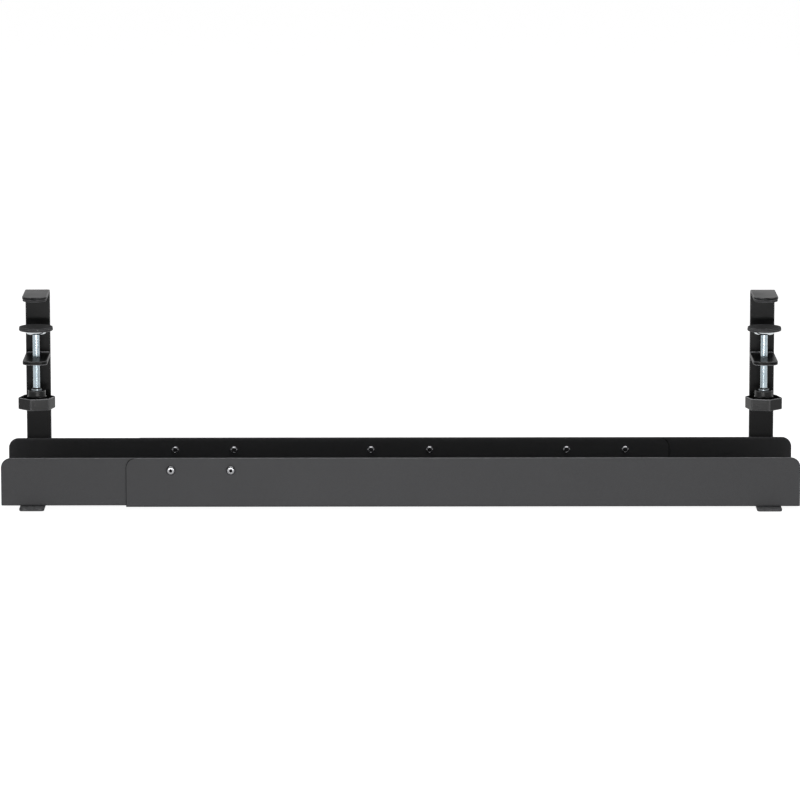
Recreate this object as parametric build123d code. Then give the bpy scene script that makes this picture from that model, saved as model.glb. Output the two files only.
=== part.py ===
from build123d import *
import os

# Under desk cable tray: two nested sheet channels that pull apart lengthwise,
# each hung from a desk edge by a bent flat bar with a screw clamp.
# Millimetres. X runs along the tray, front wall towards -Y, +Z up.
# The origin is under the middle of the closed tray, level with the feet.

os.makedirs("parts", exist_ok=True)

# Channels
overall_len = 800.0
channel_len = 675.0
tray_depth = 120.0
wall_h = 50.0
sheet_t = 1.2
nest_gap = 0.3
floor_gap = 0.1
bend_r = 2.5
wall_corner_r = 10.0

# Flat bar brackets. Heights here and in the next group count from the upper face of
# the leg, where the channel rests, because both brackets are the same part.
bar_w = 25.0
bar_t = 3.0
bar_bend_r = 2.0
bar_inset = 31.1
leg_overhang = 12.0
foot_corner_r = 3.0
hook_top_z = 202.3
hook_corner_r = 12.0
arm_reach = 60.0
tab_top_z = 137.2
tab_t = 4.0
tab_corner_r = 8.0
weld_leg = 1.2
hook_pad_w = 24.0
hook_pad_len = 50.0
hook_pad_t = 2.0
hook_pad_inset = 0.5

# Clamp screw, swivel pad and knob
axis_reach = 31.0
spindle_r = 3.5
thread_clear = 0.05
pad_top_z = 168.7
pad_r = 17.25
pad_face_inset = 0.25
pad_face_t = 1.5
pad_plate_t = 2.5
pad_chamfer = 0.6
cup_r = 10.5
cup_h = 3.6
cup_floor_t = 1.2
cup_edge_r = 2.8
neck_r = 2.6
button_r = 4.4
button_clear = 0.05
cup_cavity_clear = 0.1
knob_corner_r = 19.1
knob_turn = 14.0
knob_h = 12.1
knob_edge_r = 0.8
knob_top_z = 96.7
boss_r = 9.0
boss_h = 6.8
boss_foot_r = 2.0
boss_edge_r = 0.8
sleeve_r = 4.25
sleeve_h = 2.6
collar_r = 5.1
collar_t = 1.4
seat_clear = 0.02
spindle_seat = 8.0

# Tolerance for picking edges by place
near = 0.01

# Fasteners
screw_r = 2.5
screw_hole_r = 2.75
head_r = 4.75
socket_flats = 3.0
socket_depth = 1.6
# Each head: height, height of its edge, a point on its rounding, radius of its flat top
low_head = (2.75, 0.55, (3.7, 2.0), 2.2)
tall_head = (3.4, 1.3, (4.1, 2.5), 3.0)
length_screw_drop = 12.5
length_screw_first = 45.0
length_screw_pair = 60.0
length_pitch = 200.0
insert_collar_r = 3.6
insert_collar_h = 2.2
insert_spigot_r = 3.0
insert_bore_r = 2.1
floor_screw_spacing = 60.0
strip_screw_zs = (12.0, 24.0)

# Places that follow from the sizes above
half_len = overall_len / 2
mid_y = (leg_overhang - bar_t) / 2
outer_front_y = mid_y - tray_depth / 2
outer_back_y = mid_y + tray_depth / 2
outer_floor_z = bar_t
rim_z = outer_floor_z + wall_h
outer_left_x = half_len - channel_len
inner_right_x = channel_len - half_len
step_y = sheet_t + nest_gap
step_z = sheet_t + floor_gap
inner_front_y = outer_front_y + step_y
inner_back_y = outer_back_y - step_y
inner_floor_z = outer_floor_z + step_z
bracket_x = half_len - bar_inset
length_screw_z = rim_z - length_screw_drop
length_screw_xs = [outer_left_x + length_screw_first + length_screw_pair * i for i in range(2)]
insert_xs = [x + length_pitch * k for k in range(3) for x in length_screw_xs]
floor_screw_ys = [mid_y - floor_screw_spacing / 2, mid_y + floor_screw_spacing / 2]
hook_under_z = hook_top_z - bar_t
tab_under_z = tab_top_z - tab_t
pad_plate_top_z = pad_top_z - pad_face_t
pad_under_z = pad_plate_top_z - pad_plate_t
cup_under_z = pad_under_z - cup_h
boss_top_z = knob_top_z + boss_h
sleeve_top_z = boss_top_z + sleeve_h
spindle_foot_z = knob_top_z - spindle_seat


def save(shape, name):
    export_step(shape, f"parts/{name}.step")


def rod(radius, start, end):
    """A round bar from one point to another."""
    axis = Vector(*end) - Vector(*start)
    place = Plane(origin=start, z_dir=axis)
    return extrude(place * Circle(radius), amount=axis.length)


def upright(radius, x, y, z0, z1):
    return rod(radius, (x, y, z0), (x, y, z1))


def yz_prism(points, x0, x1, rounds):
    """A prism along X; rounds gives a radius for chosen corners of its outline."""
    outline = Polygon(*points, align=None)
    for corner, radius in rounds:
        vertex = outline.vertices().sort_by_distance(Vector(*corner))[0]
        outline = fillet(vertex, radius)
    return extrude(Plane.YZ.offset(x0) * outline, amount=x1 - x0)


def channel(x0, x1, front_y, back_y, floor_z):
    """A U-shaped sheet channel with rounded top corners on both walls."""
    outside = [(front_y, floor_z), (back_y, floor_z), (back_y, rim_z), (front_y, rim_z)]
    y0 = front_y + sheet_t
    y1 = back_y - sheet_t
    z0 = floor_z + sheet_t
    inside = [(y0, z0), (y1, z0), (y1, rim_z + sheet_t), (y0, rim_z + sheet_t)]
    body = yz_prism(outside, x0, x1, [(outside[0], bend_r), (outside[1], bend_r)])
    inner_r = bend_r - sheet_t
    body -= yz_prism(inside, x0, x1, [(inside[0], inner_r), (inside[1], inner_r)])
    side = Polygon((x0, floor_z), (x1, floor_z), (x1, rim_z), (x0, rim_z), align=None)
    top_corners = side.vertices().sort_by(Axis.Y)[-2:]
    side = fillet(top_corners, wall_corner_r)
    return body & extrude(Plane.XZ.offset(-back_y) * side, amount=back_y - front_y)


def bracket_holes(x, face_y, inside, outside, radius):
    """Holes for the screws of one bracket, as deep as given on both sides of its faces."""
    floor_rods = [upright(radius, x, y, -outside, inside) for y in floor_screw_ys]
    wall_rods = [
        rod(radius, (x, face_y - inside, z), (x, face_y + outside, z)) for z in strip_screw_zs
    ]
    return floor_rods + wall_rods


def channel_bracket_holes(x, face_y, floor_z):
    """The same holes through the floor and back wall of a channel."""
    return [Pos(0, 0, floor_z) * hole for hole in bracket_holes(x, face_y, sheet_t, 0, screw_hole_r)]


def bracket(x, face_y):
    """Foot, upright strip and hook, bent from one flat bar."""
    back_y = face_y + bar_t
    foot_y = outer_front_y - leg_overhang
    hook_y = face_y - arm_reach
    points = [
        (foot_y, -bar_t),
        (back_y, -bar_t),
        (back_y, hook_top_z),
        (hook_y, hook_top_z),
        (hook_y, hook_under_z),
        (face_y, hook_under_z),
        (face_y, 0),
        (foot_y, 0),
    ]
    outer_r = bar_bend_r + bar_t
    rounds = [
        (points[1], outer_r),
        (points[2], outer_r),
        (points[5], bar_bend_r),
        (points[6], bar_bend_r),
    ]
    bar = yz_prism(points, x - bar_w / 2, x + bar_w / 2, rounds)
    for tip_y, radius in ((hook_y, hook_corner_r), (foot_y, foot_corner_r)):
        upright_edges = bar.edges().filter_by(Axis.Z)
        bar = fillet(upright_edges.filter_by_position(Axis.Y, tip_y - near, tip_y + near), radius)
    return bar - bracket_holes(x, face_y, 0, bar_t, screw_r + seat_clear)


def rounded_plate(x, y0, y1, width, z0, z1, radius):
    """A flat plate whose two front corners are rounded."""
    half = width / 2
    outline = Polygon((x - half, y0), (x + half, y0), (x + half, y1), (x - half, y1), align=None)
    front = outline.vertices().sort_by(Axis.Y)[:2]
    outline = fillet(front, radius)
    return extrude(Plane.XY.offset(z0) * outline, amount=z1 - z0)


def tab(x, face_y):
    """Plate welded to the strip, with the tapped hole for the clamp screw."""
    plate = rounded_plate(x, face_y - arm_reach, face_y, bar_w, tab_under_z, tab_top_z, tab_corner_r)
    bead = [
        (face_y, tab_top_z),
        (face_y, tab_top_z + weld_leg),
        (face_y - weld_leg, tab_top_z),
    ]
    plate += yz_prism(bead, x - bar_w / 2, x + bar_w / 2, [])
    hole_r = spindle_r + thread_clear
    return plate - upright(hole_r, x, face_y - axis_reach, tab_under_z, tab_top_z)


def hook_pad(x, face_y):
    front_y = face_y - arm_reach + hook_pad_inset
    radius = hook_corner_r - hook_pad_inset
    z0 = hook_under_z - hook_pad_t
    return rounded_plate(x, front_y, front_y + hook_pad_len, hook_pad_w, z0, hook_under_z, radius)


def button_screw(seat, direction, length, head):
    """Round-headed screw with a hexagon socket; its head rests on seat."""
    head_h, edge_h, bulge, flat_r = head
    outline = Polyline((0, 0), (head_r, 0), (head_r, edge_h))
    dome = ThreePointArc((head_r, edge_h), bulge, (flat_r, head_h))
    top = Polyline((flat_r, head_h), (0, head_h), (0, 0))
    section = make_face(Curve() + [outline, dome, top])
    screw = revolve(Plane.XZ * section, Axis.Z)
    socket = RegularPolygon(socket_flats / 2, 6, major_radius=False)
    screw -= extrude(Plane.XY.offset(head_h) * socket, amount=-socket_depth)
    screw += extrude(Circle(screw_r), amount=-length)
    return Plane(origin=seat, z_dir=direction) * screw


def length_screws(wall_y, outward):
    """The pair of screws that hold the chosen length, on one wall."""
    seats = [(x, wall_y, length_screw_z) for x in length_screw_xs]
    return Compound([button_screw(seat, (0, outward, 0), sheet_t, tall_head) for seat in seats])


def length_inserts(wall_y, inward):
    """Pressed-in threaded collars along one wall of the inner channel."""
    pieces = []
    for x in insert_xs:
        outside = (x, wall_y, length_screw_z)
        inside = (x, wall_y + inward * sheet_t, length_screw_z)
        crown = (x, wall_y + inward * (sheet_t + insert_collar_h), length_screw_z)
        body = rod(insert_spigot_r, outside, inside) + rod(insert_collar_r, inside, crown)
        pieces.append(body - rod(insert_bore_r, outside, crown))
    return Compound(pieces)


def bracket_screws(x, face_y):
    """Screws from inside the channel into the bracket behind and below it."""
    length = sheet_t + bar_t
    places = [((x, y, sheet_t), (0, 0, 1)) for y in floor_screw_ys]
    places += [((x, face_y - sheet_t, z), (0, -1, 0)) for z in strip_screw_zs]
    return Compound([button_screw(seat, way, length, low_head) for seat, way in places])


def pad_face(x, y):
    return upright(pad_r - pad_face_inset, x, y, pad_plate_top_z, pad_top_z)


def pad_plate(x, y):
    plate = upright(pad_r, x, y, pad_under_z, pad_plate_top_z)
    rim = plate.edges().filter_by(GeomType.CIRCLE).sort_by(Axis.Z)[0]
    return chamfer(rim, pad_chamfer)


def swivel_cup(x, y):
    """Shallow metal cup that holds the button on the end of the clamp screw."""
    cup = upright(cup_r, x, y, cup_under_z, pad_under_z)
    rim = cup.edges().filter_by(GeomType.CIRCLE).sort_by(Axis.Z)[0]
    cup = fillet(rim, cup_edge_r)
    shelf_z = cup_under_z + cup_floor_t
    cup -= upright(neck_r + thread_clear, x, y, cup_under_z, shelf_z)
    return cup - upright(button_r + cup_cavity_clear, x, y, shelf_z, pad_under_z)


def spindle(x, y):
    """Threaded clamp screw with a neck and a button at its upper end."""
    shelf_z = cup_under_z + cup_floor_t + button_clear
    shaft_top_z = cup_under_z - button_clear
    body = upright(spindle_r, x, y, spindle_foot_z, shaft_top_z)
    body += upright(neck_r, x, y, shaft_top_z, shelf_z)
    return body + upright(button_r, x, y, shelf_z, pad_under_z - button_clear)


def knob(x, y, turn):
    """Six-sided hand knob with a flared round boss, a short sleeve and a blind bore."""
    outline = RegularPolygon(knob_corner_r, 6, rotation=turn)
    base_z = knob_top_z - knob_h
    body = extrude(Pos(x, y, base_z) * outline, amount=knob_h)
    body = fillet(body.edges(), knob_edge_r)
    body += upright(boss_r, x, y, knob_top_z - knob_edge_r, boss_top_z)
    for ring_z, radius in ((knob_top_z, boss_foot_r), (boss_top_z, boss_edge_r)):
        rings = body.edges().filter_by(GeomType.CIRCLE)
        body = fillet(rings.filter_by_position(Axis.Z, ring_z - near, ring_z + near), radius)
    body += upright(sleeve_r, x, y, boss_top_z - boss_edge_r, sleeve_top_z)
    return body - upright(spindle_r + seat_clear, x, y, spindle_foot_z, sleeve_top_z)


def knob_collar(x, y):
    """Bright ring round the sleeve of the knob."""
    ring = upright(collar_r, x, y, boss_top_z, boss_top_z + collar_t)
    return ring - upright(sleeve_r + seat_clear, x, y, boss_top_z, boss_top_z + collar_t)


# Outer channel, with plain holes for the length screws and its bracket
right_x = bracket_x
left_x = -bracket_x

outer = channel(outer_left_x, half_len, outer_front_y, outer_back_y, outer_floor_z)
outer -= [
    rod(screw_hole_r, (x, outer_front_y, length_screw_z), (x, outer_back_y, length_screw_z))
    for x in length_screw_xs
]
outer -= channel_bracket_holes(right_x, outer_back_y, outer_floor_z)
save(outer, "outer_channel")

# Inner channel, with holes for the pressed-in collars and its bracket
inner = channel(-half_len, inner_right_x, inner_front_y, inner_back_y, inner_floor_z)
inner -= [
    rod(
        insert_spigot_r + seat_clear,
        (x, inner_front_y, length_screw_z),
        (x, inner_back_y, length_screw_z),
    )
    for x in insert_xs
]
inner -= channel_bracket_holes(left_x, inner_back_y, inner_floor_z)
save(inner, "inner_channel")

# Length screws and the collars they screw into
save(length_screws(outer_front_y, -1), "front_length_screws")
save(length_screws(outer_back_y, 1), "back_length_screws")
save(length_inserts(inner_front_y, 1), "front_length_inserts")
save(length_inserts(inner_back_y, -1), "back_length_inserts")

# One clamp bracket at each end, with its leg against the underside of its channel
sides = [
    ("left", left_x, inner_back_y, inner_floor_z, knob_turn),
    ("right", right_x, outer_back_y, outer_floor_z, -knob_turn),
]
for side, x, face_y, floor_z, turn in sides:
    axis_y = face_y - axis_reach
    pieces = {
        "bracket": bracket(x, face_y),
        "tab": tab(x, face_y),
        "hook_pad": hook_pad(x, face_y),
        "bracket_screws": bracket_screws(x, face_y),
        "pad_face": pad_face(x, axis_y),
        "pad_plate": pad_plate(x, axis_y),
        "swivel_cup": swivel_cup(x, axis_y),
        "spindle": spindle(x, axis_y),
        "knob": knob(x, axis_y, turn),
        "knob_collar": knob_collar(x, axis_y),
    }
    for name, shape in pieces.items():
        save(Pos(0, 0, floor_z) * shape, f"{side}_{name}")
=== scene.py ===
import math
from typing import NamedTuple

import bmesh
import bpy
from mathutils import Matrix, Vector


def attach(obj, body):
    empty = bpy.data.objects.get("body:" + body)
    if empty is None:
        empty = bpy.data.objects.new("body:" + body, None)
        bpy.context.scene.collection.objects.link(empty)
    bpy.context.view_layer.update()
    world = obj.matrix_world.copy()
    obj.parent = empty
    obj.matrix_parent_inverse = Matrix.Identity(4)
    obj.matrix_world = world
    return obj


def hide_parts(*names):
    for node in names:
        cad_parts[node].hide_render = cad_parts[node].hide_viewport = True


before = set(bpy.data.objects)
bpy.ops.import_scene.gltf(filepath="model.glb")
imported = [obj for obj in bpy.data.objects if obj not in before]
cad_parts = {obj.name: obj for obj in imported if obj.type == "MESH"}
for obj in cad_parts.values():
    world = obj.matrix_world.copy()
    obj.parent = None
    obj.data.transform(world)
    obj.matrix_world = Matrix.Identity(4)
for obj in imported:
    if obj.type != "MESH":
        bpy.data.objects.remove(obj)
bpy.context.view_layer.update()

# Millimetres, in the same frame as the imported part, unless a comment says metres.
MM = 0.001
FIT_GAP = 0.05
PRESS_GAP = 0.02

# Channels, their screws and threaded collars. Heights count from the ground.
SHEET_T = 1.2
SHEET_EDGE_R = 0.5
BEND_MID_R = 1.9
WALL_CORNER_R = 10.0
OUTER = {"front": -55.5, "back": 64.5, "floor": 3.0, "x0": -275.0, "x1": 400.0}
INNER = {"front": -54.0, "back": 63.0, "floor": 4.3, "x0": -400.0, "x1": 275.0}
RIM_Z = 53.0
SCREW_Z = 40.5
SCREW_XS = (-230.0, -170.0)
INSERT_XS = (-230.0, -170.0, -30.0, 30.0, 170.0, 230.0)

# Brackets. Heights here and below count from the upper face of the leg.
BAR_W = 25.0
BAR_T = 3.0
BAR_EDGE_R = 0.8
BAR_BEND_MID_R = 3.5
FOOT_Y = -67.5
FOOT_CORNER_R = 3.0
HOOK_CORNER_R = 12.0
HOOK_TOP_Z = 202.3
ARM_REACH = 60.0
TAB_UNDER_Z = 133.2
TAB_TOP_Z = 137.2
TAB_CORNER_R = 8.0
TAB_EDGE_R = 0.7
HOOK_PAD_INSET = 0.5
HOOK_PAD_LEN = 50.0
HOOK_PAD_T = 2.0
HOOK_PAD_BACK_R = 0.8
HOOK_PAD_EDGE_R = 0.5
BAR_SCREW_YS = (-25.5, 34.5)
BAR_SCREW_ZS = (12.0, 24.0)

# Clamp screws
AXIS_REACH = 31.0
SPINDLE_R = 3.5
SPINDLE_FOOT_Z = 88.7
THREAD_ROOT_R = 3.25
THREAD_PITCH = 1.0
NECK_R = 2.6
BUTTON_R = 4.4

# Pads and their swivel cups
PAD_TOP_Z = 168.7
PAD_PLATE_Z = 167.2
PAD_UNDER_Z = 164.7
PAD_R = 17.25
PAD_FACE_R = 17.0
PAD_FACE_FLAT_R = 12.0
CUP_R = 10.5
CUP_ROUND_R = 2.8
CUP_FLOOR_T = 1.2
CUP_UNDER_Z = 161.1

# Knobs
KNOB_TOP_Z = 96.7
KNOB_H = 12.1
KNOB_CORNER_R = 19.1
KNOB_ROUND_R = 1.2
KNOB_EDGE_R = 0.8
KNOB_TURN = 14.0
BOSS_R = 9.0
BOSS_FOOT_R = 2.0
BOSS_TOP_Z = 103.5
SLEEVE_R = 4.25
SLEEVE_TOP_Z = 106.1
SLEEVE_CHAMFER = 0.2
KNOB_RING_R = 5.1
KNOB_RING_T = 1.4


class Side(NamedTuple):
    """One bracket with its clamp."""

    name: str
    x: float
    face_y: float  # back face of the wall that the strip lies against
    floor_z: float  # upper face of the leg
    turn: float  # of the knob, in degrees
    body: str

    @property
    def axis_y(self):
        return self.face_y - AXIS_REACH


SIDES = (
    Side("left", -368.9, INNER["back"], INNER["floor"], KNOB_TURN, "inner_tray"),
    Side("right", 368.9, OUTER["back"], OUTER["floor"], -KNOB_TURN, "outer_tray"),
)


# Camera: the photograph's view, 5.2 m in front of the tray and 9.5 degrees above the level.
CAMERA_AT = (-0.019, -5.2113, 0.9770)  # metres
CAMERA_DOWN = 9.527  # degrees
CAMERA_ROLL, CAMERA_PAN = 0.00062, -0.00366  # radians

camera_data = bpy.data.cameras.new("camera")
camera_data.sensor_width = 36.0
camera_data.lens = 235.7
camera_data.clip_start = 0.1
camera_data.clip_end = 200.0
camera = bpy.data.objects.new("camera", camera_data)
camera.location = CAMERA_AT
camera.rotation_euler = (math.radians(90.0 - CAMERA_DOWN), CAMERA_ROLL, CAMERA_PAN)
bpy.context.scene.collection.objects.link(camera)
bpy.context.scene.camera = camera


# Materials. Each face has a mark, in the attribute "edge": 0 is the plain surface, a mark
# above 0 blends to a lighter coat, a painted highlight, and one below 0 to a dark one, a
# painted shade.

PLAIN = 0.0
PAINTED_HIGHLIGHT = 1.0
PAINTED_SHADE = -1.0
PAINTED_SHADE_COLOR = (0.01, 0.01, 0.01)
WHITE = (1.0, 1.0, 1.0, 1.0)
# The parts of red, green and blue in every grey
COOL = (1.0, 1.005, 1.04)
# Almost all of a noise lies between these values.
NOISE_LOW, NOISE_HIGH = 0.3, 0.7
# Colour sockets of a Mix node
MIX_A, MIX_B, MIX_RESULT = 6, 7, 2
# Powder coat: its speckles are finer than its orange peel, lower, and this much darker and
# lighter than the coat; its roughness goes this far up and down.
SPECKLE_FINENESS = 2.2
SPECKLE_HEIGHT = 0.35
SPECKLE = 0.28
GLOSS_SWING = 0.05


class Nodes:
    """A small helper for wiring one material's nodes."""

    def __init__(self, name):
        self.material = bpy.data.materials.new(name)
        self.material.use_nodes = True
        self.tree = self.material.node_tree
        self.shader = self.tree.nodes["Principled BSDF"]
        self.place = self.new("ShaderNodeTexCoord").outputs["Object"]

    def new(self, kind, **settings):
        node = self.tree.nodes.new(kind)
        for key, value in settings.items():
            setattr(node, key, value)
        return node

    def link(self, source, target):
        self.tree.links.new(source, target)

    def mark(self):
        """The mark of each face."""
        return self.new("ShaderNodeAttribute", attribute_name="edge").outputs["Fac"]

    def noise(self, scale, detail=2.0, roughness=0.5, stretch=None):
        """A noise that keeps its place on the piece; its scale counts per metre."""
        node = self.new("ShaderNodeTexNoise")
        node.inputs["Scale"].default_value = scale
        node.inputs["Detail"].default_value = detail
        node.inputs["Roughness"].default_value = roughness
        place = self.place
        if stretch:
            mapping = self.new("ShaderNodeMapping")
            mapping.inputs["Scale"].default_value = stretch
            self.link(place, mapping.inputs["Vector"])
            place = mapping.outputs["Vector"]
        self.link(place, node.inputs["Vector"])
        return node.outputs["Fac"]

    def spread(self, value, low, high, start=NOISE_LOW, end=NOISE_HIGH):
        """Goes from low to high while the value goes from start to end."""
        node = self.new("ShaderNodeMapRange")
        node.inputs["From Min"].default_value = start
        node.inputs["From Max"].default_value = end
        node.inputs["To Min"].default_value = low
        node.inputs["To Max"].default_value = high
        self.link(value, node.inputs["Value"])
        return node.outputs["Result"]

    def tint(self, value, dark, light):
        """A colour between dark and light that follows a noise."""
        node = self.new("ShaderNodeValToRGB")
        low, high = node.color_ramp.elements
        low.position, low.color = NOISE_LOW, (*dark, 1.0)
        high.position, high.color = NOISE_HIGH, (*light, 1.0)
        self.link(value, node.inputs["Fac"])
        return node.outputs["Color"]

    def paint_light_and_shade(self, color, light):
        """The colour, blended unevenly by the face marks: up to a painted highlight, down to a
        painted shade.
        """
        mark = self.mark()
        patches = self.noise(scale=260.0, detail=3.0, roughness=0.6)
        highlight_spread = self.spread(patches, low=0.35, high=PAINTED_HIGHLIGHT)
        shade_spread = self.spread(patches, low=PAINTED_SHADE, high=-0.8)
        for uneven, level in ((highlight_spread, light), (shade_spread, PAINTED_SHADE_COLOR)):
            amount = self.new("ShaderNodeMath", operation="MULTIPLY", use_clamp=True)
            self.link(mark, amount.inputs[0])
            self.link(uneven, amount.inputs[1])
            mix = self.new("ShaderNodeMix", data_type="RGBA")
            self.link(amount.outputs[0], mix.inputs["Factor"])
            self.link(color, mix.inputs[MIX_A])
            mix.inputs[MIX_B].default_value = (*level, 1.0)
            color = mix.outputs[MIX_RESULT]
        return color

    def bump(self, value, height, after=None):
        """A normal from a noise with a height in metres, laid over the one given as after."""
        node = self.new("ShaderNodeBump")
        node.inputs["Distance"].default_value = height
        node.inputs["Strength"].default_value = 1.0
        self.link(value, node.inputs["Height"])
        if after is not None:
            self.link(after, node.inputs["Normal"])
        return node.outputs["Normal"]

    def finish(self, color, roughness, normal):
        """The material, with these three wired to its shader."""
        self.link(color, self.shader.inputs["Base Color"])
        self.link(roughness, self.shader.inputs["Roughness"])
        self.link(normal, self.shader.inputs["Normal"])
        return self.material


def grey(level):
    """A grey with a trace of blue."""
    return tuple(level * part for part in COOL)


def coat(name, level, rough, specular, grain, grain_height, highlight_level):
    """Powder coat: a fine orange peel, a speckled grain, slow changes of gloss, and painted
    highlights and shade by the marks on its faces.
    """
    n = Nodes(name)
    n.shader.inputs["Specular IOR Level"].default_value = specular
    slow = n.noise(scale=14.0, detail=3.0)
    fine = n.noise(scale=grain * SPECKLE_FINENESS)
    peel = n.noise(scale=grain)
    color = n.tint(fine, grey(level * (1 - SPECKLE)), grey(level * (1 + SPECKLE)))
    color = n.paint_light_and_shade(color, grey(highlight_level))
    gloss = n.spread(slow, rough - GLOSS_SWING, rough + GLOSS_SWING)
    normal = n.bump(peel, grain_height)
    normal = n.bump(fine, grain_height * SPECKLE_HEIGHT, after=normal)
    return n.finish(color, gloss, normal)


def moulded_plastic(name):
    """Black plastic with a soft gloss; faces marked dark lose their gloss and darken, a painted
    shade, and faces marked above 0 get a painted highlight.
    """
    n = Nodes(name)
    specular = n.spread(n.mark(), 0.0, 0.26, start=PAINTED_SHADE, end=PLAIN)
    n.link(specular, n.shader.inputs["Specular IOR Level"])
    grain = n.noise(scale=2600.0, detail=3.0, roughness=0.6)
    slow = n.noise(scale=60.0)
    color = n.paint_light_and_shade(n.tint(grain, grey(0.012), grey(0.022)), grey(0.45))
    gloss = n.spread(slow, 0.26, 0.36)
    return n.finish(color, gloss, n.bump(grain, 0.00003))


def soft_rubber(name):
    """Matte black rubber with a grain, a little dust, a faint sheen and painted highlights on
    marked edges.
    """
    n = Nodes(name)
    n.shader.inputs["Specular IOR Level"].default_value = 0.35
    n.shader.inputs["Sheen Weight"].default_value = 0.12
    n.shader.inputs["Sheen Roughness"].default_value = 0.5
    grain = n.noise(scale=1800.0, detail=4.0, roughness=0.65)
    dust = n.noise(scale=90.0, detail=3.0, roughness=0.6)
    color = n.paint_light_and_shade(n.tint(dust, grey(0.05), grey(0.07)), grey(0.2))
    gloss = n.spread(grain, 0.68, 0.85)
    return n.finish(color, gloss, n.bump(grain, 0.00005))


def zinc_plate(name, dark, light, smooth, rough):
    """Plated steel with soft clouds and the fine rings that turning leaves."""
    n = Nodes(name)
    n.shader.inputs["Metallic"].default_value = 1.0
    n.shader.inputs["Anisotropic"].default_value = 0.25
    cloud = n.noise(scale=160.0, detail=3.0, roughness=0.55)
    rings = n.noise(scale=900.0, roughness=0.6, stretch=(0.25, 0.25, 0.5))
    color = n.tint(cloud, dark, light)
    gloss = n.spread(rings, smooth, rough)
    return n.finish(color, gloss, n.bump(rings, 0.000001))


def dark_metal(name, dark, light, smooth, rough):
    """Blackened steel with soft clouds, a fine grain, and painted highlights and shade by its
    marks.
    """
    n = Nodes(name)
    n.shader.inputs["Metallic"].default_value = 0.8
    cloud = n.noise(scale=420.0, detail=3.0, roughness=0.6)
    grain = n.noise(scale=3200.0)
    color = n.paint_light_and_shade(n.tint(cloud, grey(dark), grey(light)), grey(0.4))
    gloss = n.spread(cloud, smooth, rough)
    return n.finish(color, gloss, n.bump(grain, 0.00001))


channel_coat = coat(
    "channel_powder_coat", level=0.122, rough=0.5, specular=0.1,
    grain=1500.0, grain_height=0.00006, highlight_level=0.3,
)
bar_coat = coat(
    "bar_satin_coat", level=0.009, rough=0.34, specular=0.12,
    grain=1100.0, grain_height=0.00001, highlight_level=0.4,
)
pad_plastic = coat(
    "pad_plate_plastic", level=0.03, rough=0.45, specular=0.4,
    grain=2400.0, grain_height=0.00002, highlight_level=0.3,
)
knob_plastic = moulded_plastic("moulded_black_plastic")
pad_rubber = soft_rubber("soft_black_rubber")
zinc = zinc_plate(
    "bright_zinc_plate", dark=(0.54, 0.63, 0.68), light=(0.69, 0.78, 0.83),
    smooth=0.13, rough=0.19,
)
polished_zinc = zinc_plate(
    "polished_zinc_plate", dark=(0.78, 0.82, 0.85), light=(0.9, 0.94, 0.96),
    smooth=0.05, rough=0.1,
)
dull_zinc = zinc_plate(
    "dull_zinc_plate", dark=(0.24, 0.27, 0.29), light=(0.38, 0.42, 0.44),
    smooth=0.12, rough=0.2,
)
oxide = dark_metal("black_oxide_steel", dark=0.18, light=0.26, smooth=0.16, rough=0.24)
collar_metal = dark_metal("dark_collar_steel", dark=0.42, light=0.54, smooth=0.12, rough=0.18)


# Mesh building. A shape is a list of points, one of faces and one with a mark for each face.

CREASE = math.radians(38.0)
SAME_POINT = 1e-7  # metres
EDGE_STEPS = 3
BEND_STEPS = 8
CORNER_STEPS = 8
# What rounding may add to a distance along a path
ROUNDING = 1e-9


def skin(rings, closed=False, ladder=False, highlight_strips=()):
    """A shape through rings that all have the same number of points.

    Strip i joins ring i to the next one. A closed shape goes on from the last ring to the
    first. Any other has a flat cap at both ends, which a ladder divides into rungs, because
    its rings run along one side of a sheet and back along the other.
    """
    count = len(rings[0])
    last = len(rings) - 1
    points = [p for ring in rings for p in ring]
    pairs = [(i, i + 1) for i in range(last)]
    if closed:
        pairs.append((last, 0))
    faces, marks = [], []
    for a, b in pairs:
        for j in range(count):
            k = (j + 1) % count
            faces.append((a * count + j, a * count + k, b * count + k, b * count + j))
            # The strips listed for it get a painted highlight.
            marks.append(PAINTED_HIGHLIGHT if a in highlight_strips else PLAIN)
    for base in () if closed else (0, last * count):
        if ladder:
            for j in range(count // 2 - 1):
                far = count - 1 - j
                faces.append((base + j, base + j + 1, base + far - 1, base + far))
        else:
            faces.append(tuple(base + j for j in range(count)))
    marks += [PLAIN] * (len(faces) - len(marks))
    return points, faces, marks


def merge(parts):
    """One shape from several, which stay apart."""
    points, faces, marks = [], [], []
    for p, f, m in parts:
        shift = len(points)
        points += p
        faces += [tuple(i + shift for i in face) for face in f]
        marks += m
    return points, faces, marks


def piece(name, parts, material, body, nodes, lift=0.0):
    """One object from shapes in millimetres; it rides on body and stands for the nodes."""
    points, faces, marks = merge(parts)
    mesh = bpy.data.meshes.new(name)
    mesh.from_pydata([(x * MM, y * MM, (z + lift) * MM) for x, y, z in points], [], faces)
    mesh.attributes.new("edge", "FLOAT", "FACE").data.foreach_set("value", marks)
    work = bmesh.new()
    work.from_mesh(mesh)
    bmesh.ops.remove_doubles(work, verts=work.verts, dist=SAME_POINT)
    bmesh.ops.recalc_face_normals(work, faces=work.faces)
    for face in work.faces:
        face.smooth = True
    for edge in work.edges:
        if edge.is_manifold and edge.calc_face_angle(0.0) > CREASE:
            edge.smooth = False
    work.to_mesh(mesh)
    work.free()
    mesh.materials.append(material)
    obj = bpy.data.objects.new(name, mesh)
    bpy.context.scene.collection.objects.link(obj)
    weights = obj.modifiers.new("even_normals", "WEIGHTED_NORMAL")
    weights.keep_sharp = True
    weights.mode = "FACE_AREA"
    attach(obj, body)
    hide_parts(*nodes)


def fractions(count):
    """The ends of count equal steps from 0 to 1."""
    return [i / count for i in range(count + 1)]


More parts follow.
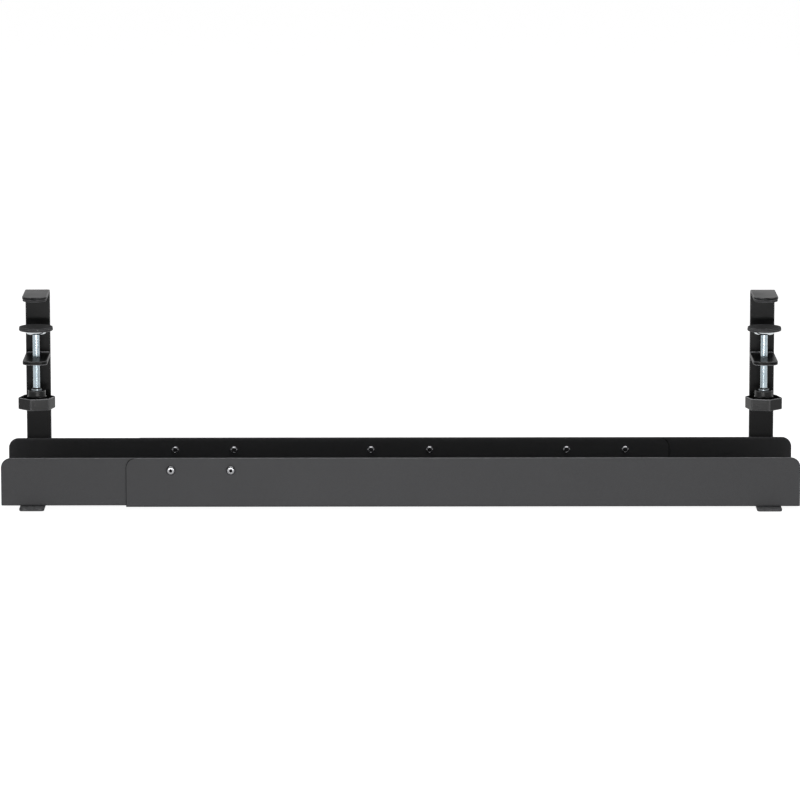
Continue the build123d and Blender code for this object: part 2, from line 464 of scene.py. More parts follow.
def quarter(count):
    """Sine and cosine at each step of a quarter turn."""
    return [(math.sin(s * math.pi / 2), math.cos(s * math.pi / 2)) for s in fractions(count)]


def edge_steps(edge, half):
    """Inset and height pairs that round an edge from the upper face to the lower face."""
    steps = [(edge * (1 - sin), half - edge * (1 - cos)) for sin, cos in quarter(EDGE_STEPS)]
    return steps + [(inset, -height) for inset, height in reversed(steps)]


# The strips of edge_steps that lie on a rounded edge; the one between them is the side.
PLATE_EDGES = (*range(EDGE_STEPS), *range(EDGE_STEPS + 1, 2 * EDGE_STEPS + 1))


class Path:
    """Middle line of a bent sheet in the YZ plane, with rounded bends."""

    def __init__(self, corners, radius):
        corners = [Vector(corner) for corner in corners]
        self.parts = []
        self.length = 0.0
        self.bend_stops = []
        at = corners[0]
        for before, here, after in zip(corners, corners[1:], corners[2:]):
            d0 = (here - before).normalized()
            d1 = (after - here).normalized()
            turn = math.atan2(d0.x * d1.y - d0.y * d1.x, d0.dot(d1))
            cut = radius * math.tan(abs(turn) / 2)
            stop = here - d0 * cut
            self.add_line(at, stop)
            side = Vector((-d0.y, d0.x)) * (1 if turn > 0 else -1)
            self.add_arc(stop, stop + side * radius, turn, radius)
            at = here + d1 * cut
        self.add_line(at, corners[-1])

    def add_line(self, a, b):
        size = (b - a).length
        self.parts.append(("line", self.length, size, a, (b - a).normalized()))
        self.length += size

    def add_arc(self, start, centre, turn, radius):
        size = abs(turn) * radius
        self.parts.append(("arc", self.length, size, start - centre, (centre, turn)))
        self.bend_stops += [self.length + size * s for s in fractions(BEND_STEPS)]
        self.length += size

    def at(self, u):
        """Point and left-hand normal at a distance along the line."""
        for kind, begin, size, start, extra in self.parts:
            if u <= begin + size + ROUNDING:
                break
        u -= begin
        if kind == "line":
            return start + extra * u, Vector((-extra.y, extra.x))
        centre, turn = extra
        arm = Matrix.Rotation(turn * u / size, 2) @ start
        outward = arm.normalized()
        return centre + arm, (-outward if turn > 0 else outward)


def bent_plate(path, x0, x1, thick, start_r, end_r, edge):
    """Sheet of one thickness along a path, rounded corners at both ends, soft edges."""
    rings = []
    for inset, height in edge_steps(edge, thick / 2):
        side = []
        for sin, cos in quarter(CORNER_STEPS):
            reach = start_r - inset
            side.append((start_r - reach * cos, start_r - reach * sin))
        side += [(stop, inset) for stop in path.bend_stops]
        for sin, cos in reversed(quarter(CORNER_STEPS)):
            reach = end_r - inset
            side.append((path.length - end_r + reach * cos, end_r - reach * sin))
        near, far = [], []
        for u, inward in side:
            p, normal = path.at(u)
            p = p + normal * height
            near.append((x0 + inward, p.x, p.y))
            far.append((x1 - inward, p.x, p.y))
        rings.append(near + far[::-1])
    # Its rounded edges get a painted highlight.
    return skin(rings, ladder=True, highlight_strips=PLATE_EDGES)


def lathe(
    outline, at, direction=(0, 0, 1), count=48, shape=None, closed=False, highlight_strips=()
):
    """Rings of (radius, height) about an axis; shape changes a radius by angle and ring."""
    spin = Vector((0, 0, 1)).rotation_difference(Vector(direction)).to_matrix()
    origin = Vector(at)
    rings = []
    for step, (radius, height) in enumerate(outline):
        ring = []
        for j in range(count):
            a = 2 * math.pi * j / count
            r = shape(radius, a, step) if shape else radius
            p = origin + spin @ Vector((r * math.cos(a), r * math.sin(a), height))
            ring.append(tuple(p))
        rings.append(ring)
    return skin(rings, closed, highlight_strips=highlight_strips)


def rounded(centre, radius, a0, a1, count=4):
    """Points of an arc in (radius, height), from angle a0 to a1 in degrees."""
    out = []
    for s in fractions(count):
        a = math.radians(a0 + (a1 - a0) * s)
        out.append((centre[0] + radius * math.cos(a), centre[1] + radius * math.sin(a)))
    return out


def off_sixth(angle):
    """An angle, in radians, from the nearest of the six directions 60 degrees apart."""
    return (angle + math.pi / 6) % (math.pi / 3) - math.pi / 6


# Channels


def channel_sheet(size):
    """Bent sheet; the edges round its end corners get a painted shadow, and its front edges a
    painted highlight.
    """
    half = SHEET_T / 2
    front, back, low = size["front"] + half, size["back"] - half, size["floor"] + half
    path = Path([(front, RIM_Z), (front, low), (back, low), (back, RIM_Z)], BEND_MID_R)
    sheet = bent_plate(
        path, size["x0"], size["x1"], SHEET_T, WALL_CORNER_R, WALL_CORNER_R, SHEET_EDGE_R
    )
    points, faces, marks = sheet
    for i, face in enumerate(faces):
        xs = [points[k][0] for k in face]
        at_x0 = max(xs) < size["x0"] + WALL_CORNER_R
        at_x1 = min(xs) > size["x1"] - WALL_CORNER_R
        # Edge faces at both ends get a painted shadow; those behind the middle of the floor lose
        # their painted highlight, so only the front edge keeps it.
        if marks[i] and (at_x0 or at_x1):
            marks[i] = PAINTED_SHADE
        elif points[face[0]][1] > 0:
            marks[i] = PLAIN
    return sheet


for name, size, body in (("outer", OUTER, "outer_tray"), ("inner", INNER, "inner_tray")):
    piece(
        f"{name}_channel_sheet", [channel_sheet(size)], channel_coat, body,
        [f"{name}_channel"],
    )


# M5 button heads with a hexagon socket. Radius and height pairs, from the wall outwards.

SCREW_R = 2.5
HEAD_R = 4.75
HEAD_ROUND_R = 0.25
HEAD_FOOT = [
    (4.55, 0.0), *rounded((HEAD_R - HEAD_ROUND_R, HEAD_ROUND_R), HEAD_ROUND_R, -90, 0, 3),
    (HEAD_R, 0.55),
]
LOW_HEAD = [
    (4.55, 1.05), (4.2, 1.55), (3.7, 2.02), (3.1, 2.4), (2.6, 2.62), (2.2, 2.73), (1.95, 2.75),
]
TALL_HEAD = [
    (4.74, 1.3), (4.54, 1.85), (4.18, 2.35), (3.78, 2.84), (3.44, 3.18), (3.2, 3.35), (3.0, 3.4),
]
# Socket for a 3 mm key: what its chamfer adds to the radius of its corners, and the depth
# below the top of the head; then the radius and depth of the cone in its floor.
SOCKET_CORNER_R = 1.5 / math.cos(math.pi / 6)
SOCKET_STEPS = ((0.12, 0.03), (0.0, 0.15), (0.0, 1.7))
SOCKET_CONE = ((1.2, 1.8), (0.05, 2.6))
HEAD_COUNT = 48
# The strips round the socket that get a lighter coat: a painted highlight, with some wear from the
# key
BRIGHT_STRIPS = 2


def button_head(at, direction, length, dome):
    """Round-headed screw; its socket ends in a cone, as a drilled and broached one does."""
    top = dome[-1][1]
    outline = [(SCREW_R, -length), (SCREW_R, 0.0), *HEAD_FOOT, *dome]
    first_hex = len(outline)
    outline += [(SOCKET_CORNER_R + wider, top - depth) for wider, depth in SOCKET_STEPS]
    outline += [(radius, top - depth) for radius, depth in SOCKET_CONE]

    def shape(radius, angle, step):
        if step < first_hex:
            return radius
        return radius * math.cos(math.pi / 6) / math.cos(off_sixth(angle))

    points, faces, marks = lathe(outline, at, direction, HEAD_COUNT, shape)
    # The flat round the socket gets a painted highlight, with some wear from the key; the socket
    # gets a painted shade.
    socket = first_hex * HEAD_COUNT
    bright = BRIGHT_STRIPS * HEAD_COUNT
    marks[socket - bright:socket] = [PAINTED_HIGHLIGHT] * bright
    marks[socket:] = [PAINTED_SHADE] * (len(marks) - socket)
    return points, faces, marks


for name, wall, outward in (("front", OUTER["front"], -1), ("back", OUTER["back"], 1)):
    heads = [
        button_head((x, wall, SCREW_Z), (0, outward, 0), SHEET_T, TALL_HEAD) for x in SCREW_XS
    ]
    piece(
        f"{name}_length_screw_heads", heads, oxide, "outer_tray",
        [f"{name}_length_screws"],
    )


# Threaded collars in the walls of the inner channel. Radius and height, as above.

INSERT_BORE_R = 2.1
INSERT_SEAT_R = 3.0
INSERT_R = 3.6
INSERT_OUTLINE = [
    (INSERT_BORE_R, 0.3), (2.35, 0.0), (INSERT_SEAT_R, 0.0), (INSERT_SEAT_R, SHEET_T),
    (INSERT_R, SHEET_T), (INSERT_R, 2.28), (3.56, 2.37), (2.54, 3.35), (2.45, 3.4), (2.3, 3.4),
    (INSERT_BORE_R, 3.2),
]
GROOVES = 4
GROOVE_DEPTH = 0.22
GROOVES_TOP = 2.9
GROOVES_LEN = 2.5
# Faces less than this height above the axis get this mark, a painted shade, so that only the top of
# each collar stays light.
INSERT_LIT_Z = 2.0
INSERT_PAINTED_SHADE = -0.55


def insert_collar(at, direction):
    """Threaded collar with a chamfer that catches the light from above; painted shade below its
    top.
    """
    outline = list(INSERT_OUTLINE)
    for i in range(GROOVES * 2):
        depth = GROOVE_DEPTH if i % 2 else 0.0
        outline.append((INSERT_BORE_R + depth, GROOVES_TOP - GROOVES_LEN * i / (GROOVES * 2)))
    points, faces, marks = lathe(outline, at, direction, closed=True)
    for i, face in enumerate(faces):
        if sum(points[k][2] - at[2] for k in face) / len(face) < INSERT_LIT_Z:
            marks[i] = INSERT_PAINTED_SHADE
    return points, faces, marks


for name, wall, inward in (("front", INNER["front"], 1), ("back", INNER["back"], -1)):
    collars = [insert_collar((x, wall, SCREW_Z), (0, inward, 0)) for x in INSERT_XS]
    piece(
        f"{name}_length_collars", collars, collar_metal, "inner_tray",
        [f"{name}_length_inserts"],
    )


# Bent flat bars with their tabs, hook pads and screws

OUTLINE_STEPS = 6
CUSHION_STEP = 4.0
TAB_STEP = 1.5
TAB_BORE_CHAMFER = 0.5

# Painted highlights on the bar, tab and weld: marks of some faces, the shares of a mark that
# others keep, and how far from an edge they reach. MARGIN is what the tests of a face's place
# allow.
MARGIN = 0.1
FOOT_FRONT_MARK = 0.4
FOOT_TOP_MARK = 0.65
FOOT_TOP_LEN = 4.0
HOOK_FRONT_SHARE = 0.15
HOOK_FRONT_LEN = 1.0
BAR_SHARE = 0.5
TAB_UNDER_SHARE = 2.5
TAB_SHARE = 0.65
WELD_SHARE = 1.6

WELD_LEG = 1.2
WELD_INSET = 0.4
WELD_RIPPLE_LEN = 1.7
WELD_RIPPLE = 0.22
WELD_STEPS = 150
WELD_ARC_STEPS = 5
# Parts of the leg: the bead at both ends and its growth from there, its hollow middle, and
# what its toes add to that
WELD_END = 0.35
WELD_GAIN = 8.0
WELD_MIDDLE = 0.72
WELD_TOE = 0.2


def bent_bar(x0, x1, face_y):
    """The bar: foot and leg under the channel, strip behind its wall, hook at the top."""
    front_y = face_y - ARM_REACH
    low, back, high = -BAR_T / 2, face_y + BAR_T / 2, HOOK_TOP_Z - BAR_T / 2
    corners = [(FOOT_Y, low), (back, low), (back, high), (front_y, high)]
    path = Path(corners, BAR_BEND_MID_R)
    bar = bent_plate(path, x0, x1, BAR_T, FOOT_CORNER_R, HOOK_CORNER_R, BAR_EDGE_R)
    points, faces, marks = bar
    # The foot's front and the front of its top get a painted highlight; the other edges keep a
    # share of theirs, the hook's front edge the smallest.
    for i, face in enumerate(faces):
        ys = [points[k][1] for k in face]
        zs = [points[k][2] for k in face]
        if max(ys) < FOOT_Y + BAR_EDGE_R + MARGIN:
            marks[i] = FOOT_FRONT_MARK
        elif min(ys) < FOOT_Y + FOOT_TOP_LEN and min(zs) > -MARGIN:
            marks[i] = FOOT_TOP_MARK
        elif max(ys) < front_y + HOOK_FRONT_LEN and min(zs) > HOOK_TOP_Z - BAR_T - MARGIN:
            marks[i] *= HOOK_FRONT_SHARE
        else:
            marks[i] *= BAR_SHARE
    return bar


def plate_outline(x0, x1, y0, y1, front_r, back_r, inset, step):
    """Points round a plate; both front corners have one radius, both back corners another."""
    corners = (
        (x1, y1, -1, -1, back_r, 0),
        (x0, y1, 1, -1, back_r, 90),
        (x0, y0, 1, 1, front_r, 180),
        (x1, y0, -1, 1, front_r, 270),
    )
    arcs = []
    for cx, cy, to_x, to_y, radius, a0 in corners:
        arc = []
        for s in fractions(OUTLINE_STEPS):
            a = math.radians(a0 + 90 * s)
            reach = radius - inset
            arc.append((
                cx + to_x * radius + reach * math.cos(a),
                cy + to_y * radius + reach * math.sin(a),
            ))
        arcs.append(arc)
    full = []
    for i, arc in enumerate(arcs):
        (px, py), (qx, qy) = arc[-1], arcs[(i + 1) % len(arcs)][0]
        run = (y1 - y0 if i % 2 else x1 - x0) - 2 * max(front_r, back_r)
        parts = max(2, int(run / step))
        full += arc
        full += [(px + (qx - px) * k / parts, py + (qy - py) * k / parts) for k in range(1, parts)]
    return full


def plate_rings(x0, x1, y0, y1, z0, z1, front_r, back_r, edge, step):
    """Rings of a flat plate with rounded edges, from its upper face down."""
    middle = (z0 + z1) / 2
    return [
        [
            (x, y, middle + height)
            for x, y in plate_outline(x0, x1, y0, y1, front_r, back_r, inset, step)
        ]
        for inset, height in edge_steps(edge, (z1 - z0) / 2)
    ]


def hook_cushion(x0, x1, front_y):
    """The soft pad under the hook, set back a little from its edges."""
    under = HOOK_TOP_Z - BAR_T
    start_y = front_y + HOOK_PAD_INSET
    rings = plate_rings(
        x0 + HOOK_PAD_INSET, x1 - HOOK_PAD_INSET, start_y, start_y + HOOK_PAD_LEN,
        under - HOOK_PAD_T, under, HOOK_CORNER_R - HOOK_PAD_INSET, HOOK_PAD_BACK_R,
        HOOK_PAD_EDGE_R, CUSHION_STEP,
    )
    # Its rounded edges get a painted highlight.
    return skin(rings, highlight_strips=PLATE_EDGES)


def clamp_tab(x0, x1, front_y, face_y, hole_at):
    """The tapped tab, its bore chamfered at both ends; its lower edges get the strongest painted
    highlight.
    """
    rings = plate_rings(
        x0, x1, front_y, face_y, TAB_UNDER_Z, TAB_TOP_Z, TAB_CORNER_R, TAB_EDGE_R, TAB_EDGE_R,
        TAB_STEP,
    )
    hole_x, hole_y = hole_at
    outline = plate_outline(x0, x1, front_y, face_y, TAB_CORNER_R, TAB_EDGE_R, 0.0, TAB_STEP)
    angles = [math.atan2(y - hole_y, x - hole_x) for x, y in outline]
    chamfer = TAB_BORE_CHAMFER
    for wider, z in (
        (chamfer, TAB_UNDER_Z), (0.0, TAB_UNDER_Z + chamfer),
        (0.0, TAB_TOP_Z - chamfer), (chamfer, TAB_TOP_Z),
    ):
        r = SPINDLE_R + FIT_GAP + wider
        rings.append([(hole_x + r * math.cos(a), hole_y + r * math.sin(a), z) for a in angles])
    points, faces, marks = skin(rings, closed=True, highlight_strips=PLATE_EDGES)
    for i, face in enumerate(faces):
        lower = max(points[k][2] for k in face) < TAB_UNDER_Z + TAB_EDGE_R + MARGIN
        marks[i] *= TAB_UNDER_SHARE if lower else TAB_SHARE
    return points, faces, marks


def weld_bead(x0, x1, y, z):
    """A small weld in the corner between tab and strip, with the ripples of its passes."""
    rings = []
    for s in fractions(WELD_STEPS):
        x = x0 + (x1 - x0) * s
        phase = (x / WELD_RIPPLE_LEN) % 1.0
        swell = 1 - WELD_RIPPLE + WELD_RIPPLE * math.sqrt(1 - (2 * phase - 1) ** 2)
        ends = min(1.0, WELD_END + WELD_GAIN * min(s, 1 - s))
        size = WELD_LEG * swell * ends
        ring = [(x, y, z)]
        for t in fractions(WELD_ARC_STEPS):
            a = math.radians(90 * t)
            bulge = size * (WELD_MIDDLE + WELD_TOE * abs(math.cos(2 * a)))
            ring.append((x, y - bulge * math.cos(a), z + bulge * math.sin(a)))
        rings.append(ring)
    # The whole bead gets a painted highlight.
    points, faces, marks = skin(rings, highlight_strips=range(WELD_STEPS))
    return points, faces, [WELD_SHARE * mark for mark in marks]


def side_piece(side, name, parts, material, body, node):
    """A piece of one side; its name and its node's begin with the name of the side."""
    piece(
        f"{side.name}_{name}", parts, material, body, [f"{side.name}_{node}"], side.floor_z
    )


def add_bracket(side):
    """The bar of one side with its tab, hook pad and screws."""
    x0, x1 = side.x - BAR_W / 2, side.x + BAR_W / 2
    front_y = side.face_y - ARM_REACH
    bar = bent_bar(x0, x1, side.face_y)
    tab = clamp_tab(x0, x1, front_y, side.face_y, (side.x, side.axis_y))
    bead = weld_bead(x0 + WELD_INSET, x1 - WELD_INSET, side.face_y, TAB_TOP_Z)
    pad = hook_cushion(x0, x1, front_y)
    places = [((side.x, y, SHEET_T), (0, 0, 1)) for y in BAR_SCREW_YS]
    places += [((side.x, side.face_y - SHEET_T, z), (0, -1, 0)) for z in BAR_SCREW_ZS]
    heads = [button_head(at, way, SHEET_T + BAR_T, LOW_HEAD) for at, way in places]
    for name, parts, material, slot, node in (
        ("bent_bar", [bar], bar_coat, "satin_coat", "bracket"),
        ("clamp_tab", [tab, bead], bar_coat, "satin_coat", "tab"),
        ("hook_cushion", [pad], pad_rubber, "soft_pad", "hook_pad"),
        ("bar_screw_heads", heads, oxide, "black_steel", "bracket_screws"),
    ):
        side_piece(side, name, parts, material, side.body, node)


for side in SIDES:
    add_bracket(side)


# Clamp screws with their pads and knobs

THREAD_COUNT = 40
# Radius at parts of one pitch: crest, flank, root, and the flank up to the next crest
THREAD_PROFILE = (
    (0.0, SPINDLE_R), (0.56, SPINDLE_R), (0.72, THREAD_ROOT_R), (0.84, THREAD_ROOT_R),
)
# The core lies just inside the roots of the thread.
CORE_R = THREAD_ROOT_R - 0.05
BUTTON_GAP = 0.1
CUP_COUNT = 72
CUP_CHAMFER = 0.2
PAD_COUNT = 96
# The foot of a pad's soft face tapers in by this much, over this height.
PAD_FACE_TAPER = 0.3
PAD_FACE_TAPER_H = 0.15
PAD_FACE_ROUND_R = 0.55
PAD_PLATE_ROUND_R = 0.4
PAD_PLATE_CHAMFER = 0.6
KNOB_RING_ROUND_R = 0.3

KNOB_COUNT = 120
KNOB_EDGE_STEPS = 4
BOSS_FOOT_STEPS = 5
# Marks of the knob's strips, counted from its underside up: painted highlights on its edges, and
# painted shade on its flat top and the foot of its boss
KNOB_SIDE_STRIP = 4
KNOB_MARKS = (
    (range(0, 4), 0.4),  # lower edge of the grip
    (range(5, 8), 2.5),  # its upper edge
    (range(8, 12), PAINTED_SHADE),  # its flat top and the foot of the boss
    (range(16, 20), 0.4),  # upper edge of the boss
)
# A painted highlight on the grip's side within this many degrees of each corner
KNOB_CORNER_MARK = 0.25
KNOB_CORNER_ANGLE = 2.5


def thread(at_x, at_y, z0, z1):
    """Right-hand thread: rows of equal phase climb one pitch per turn, cut flat at the ends."""
    rows = []
    row_z = z0 - THREAD_PITCH
    while row_z < z1 + THREAD_PITCH:
        for part, radius in THREAD_PROFILE:
            row = []
            for s in fractions(THREAD_COUNT):
                a = 2 * math.pi * s
                z = min(max(row_z + THREAD_PITCH * (part + s), z0), z1)
                row.append((at_x + radius * math.cos(a), at_y + radius * math.sin(a), z))
            rows.append(row)
        row_z += THREAD_PITCH
    points = [p for row in rows for p in row]
    width = THREAD_COUNT + 1
    faces = []
    for i in range(len(rows) - 1):
        for j in range(THREAD_COUNT):
            low, high = i * width + j, (i + 1) * width + j
            quad = (low, low + 1, high + 1, high)
            # The cut squeezes faces past the ends flat, and they are left out.
            if len({round(points[q][2], 6) for q in quad}) > 1:
                faces.append(quad)
    return points, faces, [PLAIN] * len(faces)


def grip_radius(corner_r, angle):
    """Radius, at an angle from a corner, of a hexagon with rounded corners."""
    apothem = corner_r * math.cos(math.pi / 6)
    local = abs(off_sixth(angle))
    flat = apothem / math.cos(math.pi / 6 - local)
    if local < math.asin(KNOB_ROUND_R * math.sin(math.pi / 6) / flat):
        reach = (apothem - KNOB_ROUND_R) / math.cos(math.pi / 6)
        across = reach * math.sin(local)
        return reach * math.cos(local) + math.sqrt(KNOB_ROUND_R**2 - across**2)
    return flat


def hand_knob(x, y, turn):
    """Six-sided grip, flared boss and the bore that holds the clamp screw."""
    e = KNOB_EDGE_R
    base = KNOB_TOP_Z - KNOB_H
    turns = quarter(KNOB_EDGE_STEPS)
    grip = [(e * (1 - sin), base + e * (1 - cos)) for sin, cos in turns]
    grip += [(e * (1 - cos), KNOB_TOP_Z - e * (1 - sin)) for sin, cos in turns]
    boss = [
        (BOSS_R + BOSS_FOOT_R * (1 - sin), KNOB_TOP_Z + BOSS_FOOT_R * (1 - cos))
        for sin, cos in quarter(BOSS_FOOT_STEPS)
    ]
    boss += [(BOSS_R - e * (1 - cos), BOSS_TOP_Z - e * (1 - sin)) for sin, cos in turns]
    bore = SPINDLE_R + PRESS_GAP
    boss += [
        (SLEEVE_R, BOSS_TOP_Z), (SLEEVE_R, SLEEVE_TOP_Z - SLEEVE_CHAMFER),
        (SLEEVE_R - SLEEVE_CHAMFER, SLEEVE_TOP_Z), (bore, SLEEVE_TOP_Z), (bore, SPINDLE_FOOT_Z),
    ]
    angles = [2 * math.pi * (j + 0.5) / KNOB_COUNT for j in range(KNOB_COUNT)]
    start = math.radians(turn)
    rings = []
    for inset, z in grip:
        corner_r = KNOB_CORNER_R - inset / math.cos(math.pi / 6)
        radii = [grip_radius(corner_r, a - start) for a in angles]
        rings.append([(x + r * math.cos(a), y + r * math.sin(a), z) for r, a in zip(radii, angles)])
    for r, z in boss:
        rings.append([(x + r * math.cos(a), y + r * math.sin(a), z) for a in angles])
    points, faces, marks = skin(rings)
    # Painted highlights and painted shade on the listed strips, and painted highlights at the
    # corners.
    for strips, mark in KNOB_MARKS:
        for strip in strips:
            marks[strip * KNOB_COUNT:(strip + 1) * KNOB_COUNT] = [mark] * KNOB_COUNT
    for j in range(KNOB_COUNT):
        local = off_sixth(2 * math.pi * (j + 1) / KNOB_COUNT - start)
        if abs(local) < math.radians(KNOB_CORNER_ANGLE):
            marks[KNOB_SIDE_STRIP * KNOB_COUNT + j] = KNOB_CORNER_MARK
    return points, faces, marks


def pad_disc(at):
    """The soft face of a pad, its upper edge rounded, with a painted highlight."""
    round_r = PAD_FACE_ROUND_R
    disc = [
        (PAD_FACE_R - PAD_FACE_TAPER, PAD_PLATE_Z),
        (PAD_FACE_R, PAD_PLATE_Z + PAD_FACE_TAPER_H),
    ]
    disc += rounded((PAD_FACE_R - round_r, PAD_TOP_Z - round_r), round_r, 0, 90)
    disc += [(PAD_FACE_FLAT_R, PAD_TOP_Z)]
    return lathe(disc, at, count=PAD_COUNT, highlight_strips=range(2, 6))


def pad_backing(at):
    """The stiff plate of a pad, its lower edge chamfered and its upper one rounded."""
    chamfer, round_r = PAD_PLATE_CHAMFER, PAD_PLATE_ROUND_R
    plate = [(PAD_R - chamfer, PAD_UNDER_Z), (PAD_R, PAD_UNDER_Z + chamfer)]
    plate += rounded((PAD_R - round_r, PAD_PLATE_Z - round_r), round_r, 0, 90, 3)
    # Its chamfer and part of its rounded edge get a painted highlight.
    return lathe(plate, at, count=PAD_COUNT, highlight_strips=(0, 2, 3))


def swivel_cup(at):
    """The cup under a pad; its cavity holds the button of the clamp screw."""
    neck_hole = NECK_R + FIT_GAP
    cavity_r, cavity_z = BUTTON_R + BUTTON_GAP, CUP_UNDER_Z + CUP_FLOOR_T
    bowl = [
        (neck_hole, cavity_z), (neck_hole, CUP_UNDER_Z + CUP_CHAMFER),
        (neck_hole + CUP_CHAMFER, CUP_UNDER_Z),
    ]
    bowl += rounded((CUP_R - CUP_ROUND_R, CUP_UNDER_Z + CUP_ROUND_R), CUP_ROUND_R, -90, 0, 8)
    bowl += [(CUP_R, PAD_UNDER_Z), (cavity_r, PAD_UNDER_Z), (cavity_r, cavity_z)]
    return lathe(bowl, at, count=CUP_COUNT, closed=True)


def clamp_screw(x, y):
    """The core of a clamp screw with its neck and button, and the thread round it."""
    shaft_top = CUP_UNDER_Z - FIT_GAP
    button_z = CUP_UNDER_Z + CUP_FLOOR_T + FIT_GAP
    core = [
        (CORE_R, SPINDLE_FOOT_Z), (CORE_R, shaft_top), (NECK_R, shaft_top), (NECK_R, button_z),
        (BUTTON_R, button_z), (BUTTON_R, PAD_UNDER_Z - FIT_GAP),
    ]
    return [lathe(core, (x, y, 0), count=THREAD_COUNT), thread(x, y, SPINDLE_FOOT_Z, shaft_top)]


def knob_ring(at):
    """The metal ring round the sleeve of a knob."""
    hole, top = SLEEVE_R + PRESS_GAP, BOSS_TOP_Z + KNOB_RING_T
    round_r = KNOB_RING_ROUND_R
    ring = [(hole, BOSS_TOP_Z), (KNOB_RING_R, BOSS_TOP_Z)]
    ring += rounded((KNOB_RING_R - round_r, top - round_r), round_r, 0, 90, 3)
    ring += [(hole, top)]
    return lathe(ring, at, closed=True)


def add_clamp(side):
    """The pad, cup, screw and knob of one side."""
    x, y = side.x, side.axis_y
    at = (x, y, 0)
    pad_body, screw_body = f"{side.name}_pad", f"{side.name}_screw"
    for name, parts, material, body, slot, node in (
        ("pad_disc", [pad_disc(at)], pad_rubber, pad_body, "soft_pad", "pad_face"),
        ("pad_backing", [pad_backing(at)], pad_plastic, pad_body, "black_plastic", "pad_plate"),
        ("cup", [swivel_cup(at)], polished_zinc, pad_body, "zinc", "swivel_cup"),
        ("clamp_screw", clamp_screw(x, y), zinc, screw_body, "zinc", "spindle"),
        ("hand_knob", [hand_knob(x, y, side.turn)], knob_plastic, screw_body, "black_plastic",
         "knob"),
        ("plated_collar", [knob_ring(at)], dull_zinc, screw_body, "zinc", "knob_collar"),
    ):
        side_piece(side, name, parts, material, body, node)


for side in SIDES:
    add_clamp(side)


# Backdrop, floor and light. Lengths from here on are metres.


def backdrop_level(tree, camera_level, gloss_level):
    """How bright the white backdrop is for each ray: to the camera, in gloss, through glass."""
    path = tree.nodes.new("ShaderNodeLightPath")
    level = None
    for kind, amount in (
        ("Is Camera Ray", camera_level),
        ("Is Transmission Ray", camera_level),
        ("Is Glossy Ray", gloss_level),
    ):
        scaled = tree.nodes.new("ShaderNodeMath")
        scaled.operation = "MULTIPLY"
        tree.links.new(path.outputs[kind], scaled.inputs[0])
        scaled.inputs[1].default_value = amount
        if level is not None:
            larger = tree.nodes.new("ShaderNodeMath")
            larger.operation = "MAXIMUM"
            tree.links.new(level, larger.inputs[0])
            tree.links.new(scaled.outputs[0], larger.inputs[1])
            scaled = larger
        level = scaled.outputs[0]
    return level


# Floor: a wide pale sweep that keeps a soft shadow; the camera sees it at full white.
FLOOR_HALF = 30
FLOOR_DROP = 0.0002

floor_mesh = bpy.data.meshes.new("floor")
floor_corners = ((-1, -1), (1, -1), (1, 1), (-1, 1))
floor_mesh.from_pydata(
    [(x * FLOOR_HALF, y * FLOOR_HALF, 0) for x, y in floor_corners], [], [(0, 1, 2, 3)]
)
floor = bpy.data.objects.new("floor", floor_mesh)
floor.location.z = -FLOOR_DROP
bpy.context.scene.collection.objects.link(floor)
floor_nodes = Nodes("pale_floor")
floor_nodes.shader.inputs["Base Color"].default_value = (0.8, 0.8, 0.8, 1.0)
floor_nodes.shader.inputs["Roughness"].default_value = 0.9
floor_nodes.shader.inputs["Specular IOR Level"].default_value = 0.2
floor_lift = backdrop_level(floor_nodes.tree, camera_level=0.95, gloss_level=0.55)
floor_nodes.shader.inputs["Emission Color"].default_value = WHITE
floor_nodes.link(floor_lift, floor_nodes.shader.inputs["Emission Strength"])
floor_mesh.materials.append(floor_nodes.material)


# Light: a white horizon under a dim ceiling, a soft panel overhead and a low one in front.
# The horizon ends and the ceiling begins where a direction has these heights, of 1 at most.
HORIZON_END = 0.15
CEILING_START = 0.5

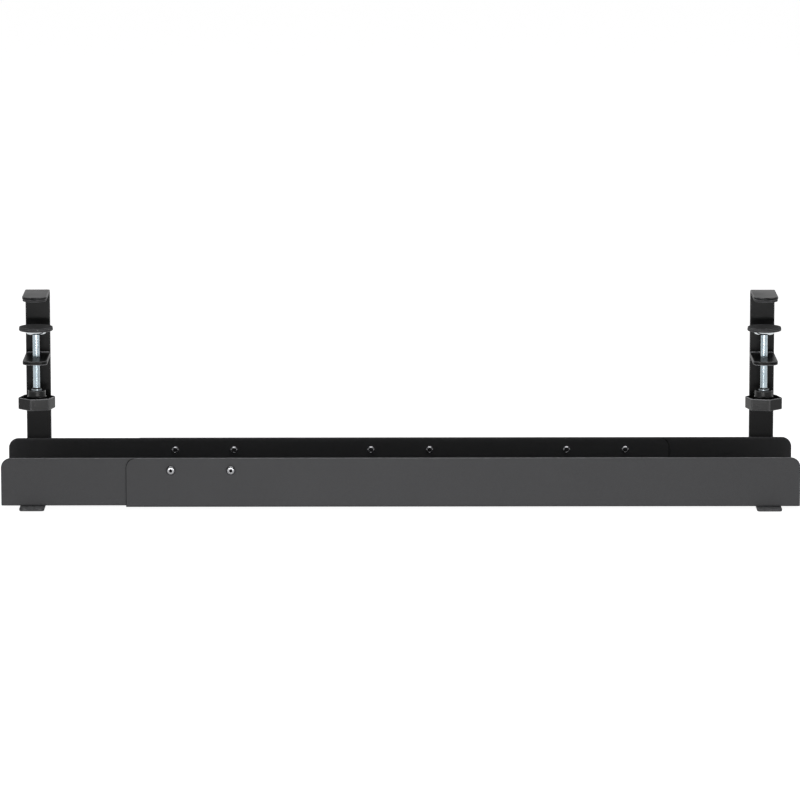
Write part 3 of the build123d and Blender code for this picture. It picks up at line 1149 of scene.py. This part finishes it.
world = bpy.data.worlds.new("studio")
bpy.context.scene.world = world
world.use_nodes = True
sky = world.node_tree
sky.nodes.clear()
out = sky.nodes.new("ShaderNodeOutputWorld")
direction = sky.nodes.new("ShaderNodeTexCoord")
split = sky.nodes.new("ShaderNodeSeparateXYZ")
sky.links.new(direction.outputs["Generated"], split.inputs[0])


def by_height(horizon, ceiling):
    """Brightness of the room, from the horizon up to the ceiling."""
    node = sky.nodes.new("ShaderNodeMapRange")
    node.inputs["From Min"].default_value = HORIZON_END
    node.inputs["From Max"].default_value = CEILING_START
    node.inputs["To Min"].default_value = horizon
    node.inputs["To Max"].default_value = ceiling
    sky.links.new(split.outputs["Z"], node.inputs["Value"])
    return node.outputs["Result"]


def light(level=None):
    """White light, at strength 1 or at the level that a socket gives."""
    node = sky.nodes.new("ShaderNodeBackground")
    node.inputs["Color"].default_value = WHITE
    node.inputs["Strength"].default_value = 1.0
    if level is not None:
        sky.links.new(level, node.inputs["Strength"])
    return node.outputs[0]


def choose(factor, first, second):
    """The first light where the factor is 0, the second where it is 1."""
    node = sky.nodes.new("ShaderNodeMixShader")
    for i, source in enumerate((factor, first, second)):
        sky.links.new(source, node.inputs[i])
    return node.outputs[0]


gloss_room = light(by_height(horizon=1.0, ceiling=0.12))
plain_room = light(by_height(horizon=0.24, ceiling=0.01))
rays = sky.nodes.new("ShaderNodeLightPath")
lit = choose(rays.outputs["Is Glossy Ray"], plain_room, gloss_room)
backdrop = backdrop_level(sky, camera_level=1.0, gloss_level=0.0)
sky.links.new(choose(backdrop, lit, light()), out.inputs["Surface"])


def panel(name, at, look, width, depth, level):
    """A soft area light whose surface has a given brightness."""
    data = bpy.data.lights.new(name, "AREA")
    data.shape = "RECTANGLE"
    data.size = width
    data.size_y = depth
    data.energy = level * math.pi * width * depth
    lamp = bpy.data.objects.new(name, data)
    lamp.location = at
    lamp.rotation_euler = (Vector(look) - Vector(at)).to_track_quat("-Z", "Y").to_euler()
    lamp.visible_camera = False
    bpy.context.scene.collection.objects.link(lamp)


panel("overhead_panel", (0.0, 0.0, 2.2), (0.0, 0.0, 0.0), width=3.0, depth=0.8, level=2.4)
panel("front_panel", (0.0, -1.3, 0.045), (0.0, 0.0, 0.045), width=1.0, depth=0.08, level=21.0)

bpy.context.scene.view_settings.view_transform = "Standard"
